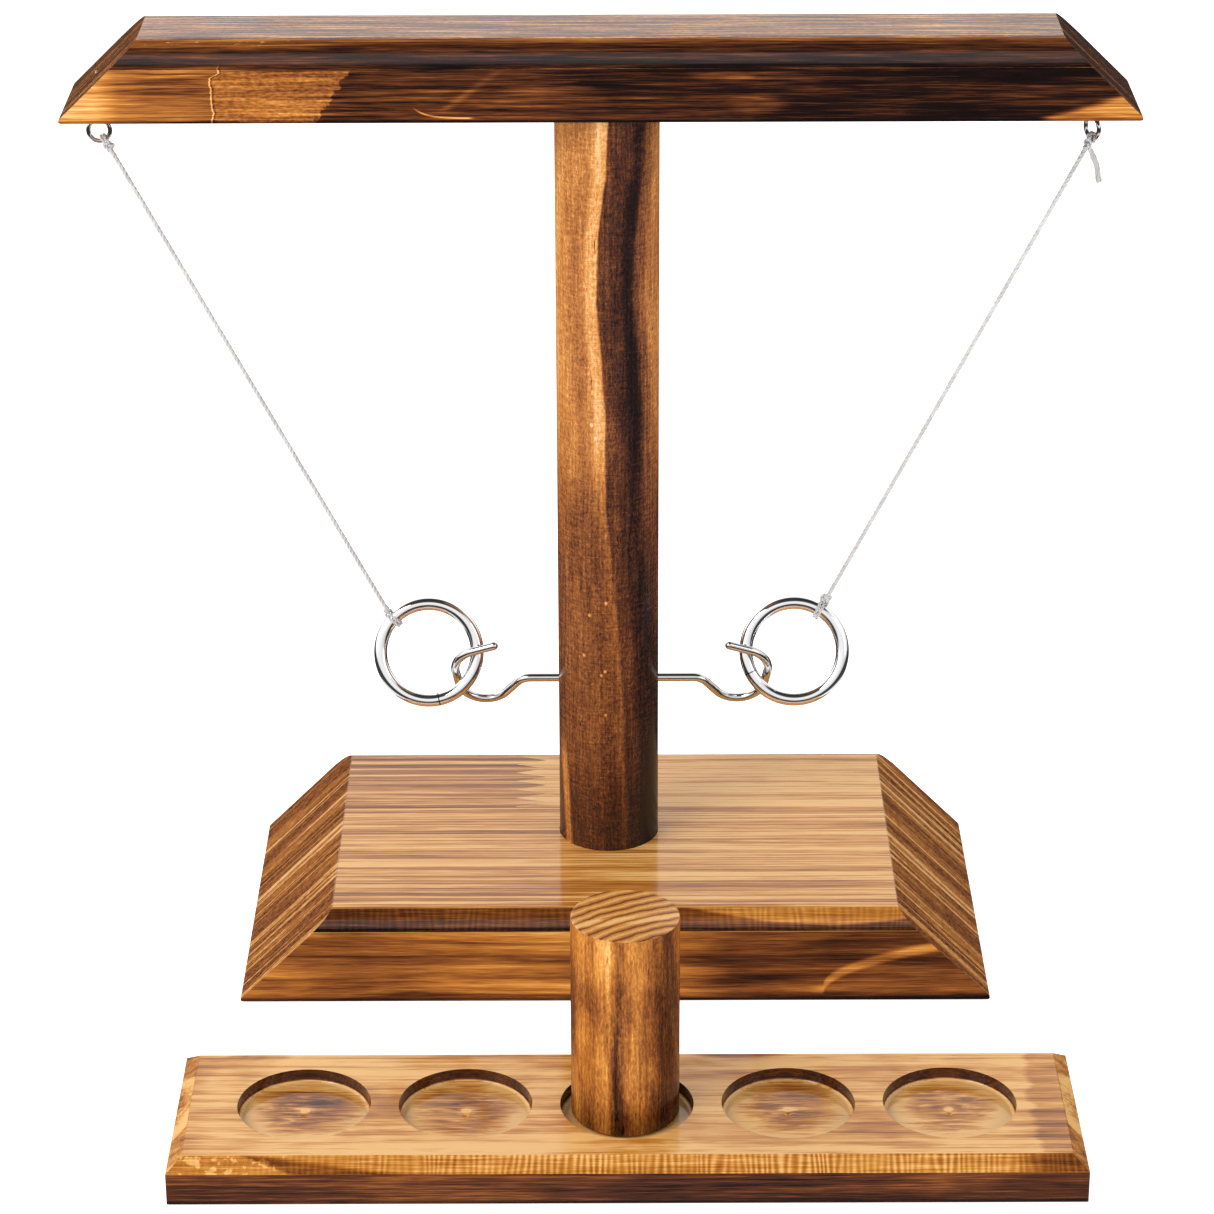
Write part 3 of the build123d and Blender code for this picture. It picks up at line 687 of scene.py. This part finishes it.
def tube(verts, faces, pts, radius, seg=8):
    """Add a closed-ended tube along pts; radius is a number or a list."""
    start = len(verts)
    n = len(pts)
    for i, (p, (_, a, b)) in enumerate(zip(pts, frames(pts))):
        r = radius[i] if isinstance(radius, list) else radius
        for j in range(seg):
            w = 2 * math.pi * j / seg
            verts.append(p + a * (r * math.cos(w)) + b * (r * math.sin(w)))
    for i in range(n - 1):
        near, far = start + i * seg, start + (i + 1) * seg
        for j in range(seg):
            k = (j + 1) % seg
            faces.append((near + j, near + k, far + k, far + j))
    faces.append(tuple(start + j for j in reversed(range(seg))))
    faces.append(tuple(start + (n - 1) * seg + j for j in range(seg)))


def mesh_piece(name, verts, faces, mat):
    me = bpy.data.meshes.new(name)
    me.from_pydata([tuple(v) for v in verts], [], faces)
    me.validate()
    for p in me.polygons:
        p.use_smooth = True
    ob = bpy.data.objects.new(name, me)
    bpy.context.collection.objects.link(ob)
    me.materials.append(mat)
    return ob


# for two and three plies: how far off the string's axis they run, over their radius, and how much they overlap
PLY_PACKING = {2: (1.0, 1.06), 3: (1.1547, 1.12)}


def plies(verts, faces, pts, diameter, lay, count=2, seg=7):
    """Twisted plies round a line of points; lay is the length of one turn."""
    pts_n, length = resample(pts, len(pts))
    spacing, press = PLY_PACKING[count]
    ply_r = diameter / 2 / (1 + spacing) * press
    off = diameter / 2 - ply_r
    fr = frames(pts_n)
    for c in range(count):
        line = []
        for i, (p, (_, a, b)) in enumerate(zip(pts_n, fr)):
            w = 2 * math.pi * (c / count + length / lay * i / (len(pts_n) - 1))
            line.append(p + a * (off * math.cos(w)) + b * (off * math.sin(w)))
        tube(verts, faces, line, ply_r, seg)


def fuzz(verts, faces, pts, diameter, count, length, rng):
    """Loose cotton fibres standing off a string."""
    fr = frames(pts)
    for _ in range(count):
        i = rng.randrange(2, len(pts) - 2)
        t, a, b = fr[i]
        w = rng.uniform(0, 2 * math.pi)
        out = a * math.cos(w) + b * math.sin(w)
        s = pts[i] + out * (diameter * 0.42)
        d = (out * rng.uniform(0.15, 0.5) + t * rng.choice((-1, 1)) * rng.uniform(0.6, 1.0)).normalized()
        hair = [s, s + d * length * 0.35, s + d * length * 0.7 + out * length * 0.05, s + d * length]
        tube(verts, faces, hair, [0.00003, 0.00003, 0.000025, 0.000012], 3)


def knot_line(centre, axis, side, size):
    """Trefoil line: the run of string inside an overhand knot."""
    n = 110
    axis = axis.normalized()
    side = (side - axis * side.dot(axis)).normalized()
    third = axis.cross(side)
    out = []
    for i in range(n):
        w = 2 * math.pi * i / (n - 1)
        x = (math.sin(w) + 2 * math.sin(2 * w)) / 3.0
        y = (math.cos(w) - 2 * math.cos(2 * w)) / 3.0
        z = -math.sin(3 * w) * 0.42
        out.append(centre + (side * y + axis * x * 1.05 + third * z) * size)
    return out


def ring_line(centre, along, radius, pitch, n, start):
    """Two turns of string wound on a wire that runs along 'along', n points to a turn."""
    turns = 2.0
    along = along.normalized()
    a = (start - along * start.dot(along)).normalized()
    b = along.cross(a)
    out = []
    for i in range(int(n * turns)):
        s = i / (n * turns - 1)
        w = 2 * math.pi * turns * s
        offset = (a * math.cos(w) + b * math.sin(w)) * radius
        out.append(centre + along * ((s - 0.5) * pitch * turns) + offset)
    return out


def cotton_piece(name, verts, faces, node, body):
    piece = mesh_piece(name, verts, faces, COTTON)
    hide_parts(node)
    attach(piece, body)
    return piece


STRING_D = 0.0016
PLY_ENVELOPE, PLY_LAY = 0.0017, 0.0058
# per side, from the CAD in mm and degrees: the string's two ends, the eyelet's centre and turn, where the loop
# holds the eyelet's wire, and where round the ring the other loop is tied; then the knots' sizes in metres
SIDES = {
    "left": dict(exit=(-167.067, 0.0674, 288.213), end=(-79.5873, 5.3155, 117.054), eye=(-170.0, 0, 293.9),
                 eye_turn=0.0, wire=(-168.33, 0, 290.71), tie=136.0, eye_knot=0.00135, ring_knot=0.00095,
                 ring_knot_string=0.0012),
    "right": dict(exit=(157.355, 0.0842, 287.793), end=(74.4294, 6.5792, 120.22), eye=(158.6, 0, 293.9),
                  eye_turn=-60.0, wire=(158.6, 0, 290.3), tie=58.0, eye_knot=0.0015, ring_knot=0.0016,
                  ring_knot_string=0.0015),
}
rng = random.Random(11)
ring_up = Vector((0, math.sin(RING_LEAN), math.cos(RING_LEAN)))
ring_face = Vector((0, -math.cos(RING_LEAN), math.sin(RING_LEAN)))

for side, d in SIDES.items():
    E, K = Vector(d["exit"]) * MM, Vector(d["end"]) * MM
    run = (K - E).normalized()
    # the taut string
    route = nurbs_points([E, E + run * 0.010, E.lerp(K, 0.5), K - run * 0.010, K], side + "_string")
    path, total = resample(route, 420)
    v, f = [], []
    plies(v, f, path, PLY_ENVELOPE, PLY_LAY, 3, seg=8)
    fuzz(v, f, path, STRING_D, 110, 0.0020, rng)
    cord = cotton_piece(side + "_string_cord", v, f, side + "_string", side + "_string")

    # knot below the eyelet and its loop round the eyelet's wire
    wire = Vector(d["wire"]) * MM
    turn = math.radians(d["eye_turn"])
    eye_side = Vector((math.cos(turn), math.sin(turn), 0))
    eye_normal = eye_side.cross(Vector((0, 0, 1)))
    along = (wire - Vector(d["eye"]) * MM).cross(eye_normal).normalized()
    v, f = [], []
    plies(v, f, ring_line(wire, along, 0.00155, 0.0010, 56, run), 0.0013, 0.0030)
    plies(v, f, knot_line(E, run, along, d["eye_knot"]), 0.00145, 0.0034)
    cotton_piece(side + "_eyelet_knot_wrap", v, f, side + "_eyelet_knot", "stand")

    # loop round the ring's wire and the knot outside it
    tie = math.radians(d["tie"])
    radial = Vector((1, 0, 0)) * math.cos(tie) + ring_up * math.sin(tie)
    tied_at = Vector((RING_X[side], 0, RING_Z)) + radial * RING_R
    ring_along = radial.cross(ring_face).normalized()
    v, f = [], []
    plies(v, f, ring_line(tied_at, ring_along, 0.00300, 0.0012, 72, radial), 0.0012, 0.0034)
    plies(v, f, knot_line(K, run, ring_along, d["ring_knot"]), d["ring_knot_string"], 0.0032)
    low = cotton_piece(side + "_ring_knot_wrap", v, f, side + "_ring_knot", side + "_ring_tie")

# frayed end below the right eyelet knot: strands that spread and thin out
TAIL_MM = ((158.3, -0.1, 286.2), (160.7, -0.45, 281.7), (161.6, -0.5, 275.1))
start, mid, end = (Vector(p) * MM for p in TAIL_MM)
tail_path, _ = resample(nurbs_points([start, start.lerp(mid, 0.7), mid.lerp(end, 0.4), end], "tail"), 60)
STRANDS, STRAND_R = 9, 0.00046
v, f = [], []
fr = frames(tail_path)
for k in range(STRANDS):
    w0 = 2 * math.pi * k / STRANDS + rng.uniform(-0.2, 0.2)
    rad = 0.00062 if k % 3 else 0.00025
    line, thick = [], []
    for i, (p, (_, a, b)) in enumerate(zip(tail_path, fr)):
        s = i / (len(tail_path) - 1)
        w = w0 + 1.5 * math.pi * s
        spread = rad * (0.75 + 0.55 * s)
        line.append(p + (a * math.cos(w) + b * math.sin(w)) * spread)
        thick.append(STRAND_R * (1.0 - 0.35 * s))
    tube(v, f, line, thick, 6)
fuzz(v, f, tail_path, 0.0024, 70, 0.0026, rng)
cotton_piece("right_string_tail_fray", v, f, "right_string_tail", "stand")

# ------------------------------------------------------------------ stage and light
def stage_material(name, colour, emit):
    m, t, b = material(name)
    geo = t.node("ShaderNodeTexCoord").outputs["Object"]
    n = t.noise(geo, 3.0, 2.0)
    t.put(b.inputs["Base Color"], t.ramp(n, [(0.4, tuple(c * 0.985 for c in colour)), (0.6, colour)]))
    b.inputs["Roughness"].default_value = 0.9
    b.inputs["Specular IOR Level"].default_value = 0.1
    b.inputs["Emission Color"].default_value = (1, 1, 1, 1)
    b.inputs["Emission Strength"].default_value = emit
    return m


# the floor lies just below the object's feet, and isn't seen in the varnish and the chrome
fv = [Vector((x, y, -0.0006)) for x, y in ((-6, -5), (6, -5), (6, 7), (-6, 7))]
floor = mesh_piece("floor", fv, [(0, 1, 2, 3)], stage_material("floor_white", (0.93, 0.93, 0.93), 0.9))
floor.visible_glossy = False

# pale backdrop all round, seen by the camera only, so that it neither lights the object nor shades it
dome_v, dome_f = [], []
dome_rings, dome_segs, dome_r = 24, 48, 12.0
for i in range(dome_rings + 1):
    el = math.pi * (i / dome_rings - 0.5)
    for j in range(dome_segs):
        az = 2 * math.pi * j / dome_segs
        out = Vector((math.cos(el) * math.cos(az), math.cos(el) * math.sin(az), math.sin(el)))
        dome_v.append(out * dome_r)
for i in range(dome_rings):
    near, far = i * dome_segs, (i + 1) * dome_segs
    for j in range(dome_segs):
        k = (j + 1) % dome_segs
        dome_f.append((near + j, near + k, far + k, far + j))
backdrop = mesh_piece("backdrop", dome_v, dome_f, stage_material("backdrop_white", (0.5, 0.5, 0.5), 1.0))
backdrop.visible_diffuse = False
backdrop.visible_glossy = False
backdrop.visible_transmission = False
backdrop.visible_volume_scatter = False
backdrop.visible_shadow = False

# studio light: a broad soft ceiling, dark overhead and at the horizon, and a bright band low down that the
# chrome reflects
world = bpy.data.worlds.new("studio")
bpy.context.scene.world = world
world.use_nodes = True
wt = Tree(world.node_tree)
wout = wt.node("ShaderNodeOutputWorld")
bg = wt.node("ShaderNodeBackground")
wt.t.links.new(bg.outputs[0], wout.inputs[0])
wdir = wt.node("ShaderNodeSeparateXYZ")
wt.put(wdir.inputs[0], wt.node("ShaderNodeTexCoord").outputs["Generated"])
dx, dy, dz = wdir.outputs
above = wt.level(wt.range(dz, 0.0, 1.0), [(0.0, 0.04), (0.05, 0.50), (0.20, 0.62), (0.38, 0.72),
                                          (0.58, 0.74), (0.74, 0.55), (0.80, 0.03), (1.0, 0.03)])
above = wt.math("MULTIPLY", above, 1.9)
above = wt.math("MULTIPLY", above, wt.range(dx, -0.9, 0.9, 1.15, 0.80))
above = wt.math("MULTIPLY", above, wt.range(dy, -0.75, -0.1, 0.72, 1.0, True))
below = wt.level(wt.range(dz, -1.0, 0.0), [(0.0, 0.02), (0.15, 0.03), (0.20, 0.95), (0.36, 0.95),
                                           (0.46, 0.06), (0.90, 0.04), (1.0, 0.04)])
sky = wt.node("ShaderNodeMix", data_type="FLOAT")
wt.put(sky.inputs[0], wt.range(dz, -0.02, 0.02))
wt.put(sky.inputs[2], below)
wt.put(sky.inputs[3], above)
wt.put(bg.inputs[0], sky.outputs[0])
bg.inputs[1].default_value = 1.0


def area(name, loc, size, power):
    """Rectangular light turned to the middle of the stand."""
    lamp = bpy.data.lights.new(name, "AREA")
    lamp.shape = "RECTANGLE"
    lamp.size, lamp.size_y = size
    lamp.energy = power
    o = bpy.data.objects.new(name, lamp)
    bpy.context.collection.objects.link(o)
    o.location = loc
    o.rotation_euler = (Vector((0, 0, 0.12)) - Vector(loc)).to_track_quat("-Z", "Y").to_euler()


area("key", (-1.1, -1.0, 1.5), (0.9, 0.9), 16)
area("fill", (1.3, -0.9, 0.9), (0.7, 1.0), 2)
bpy.context.scene.view_settings.view_transform = "Standard"
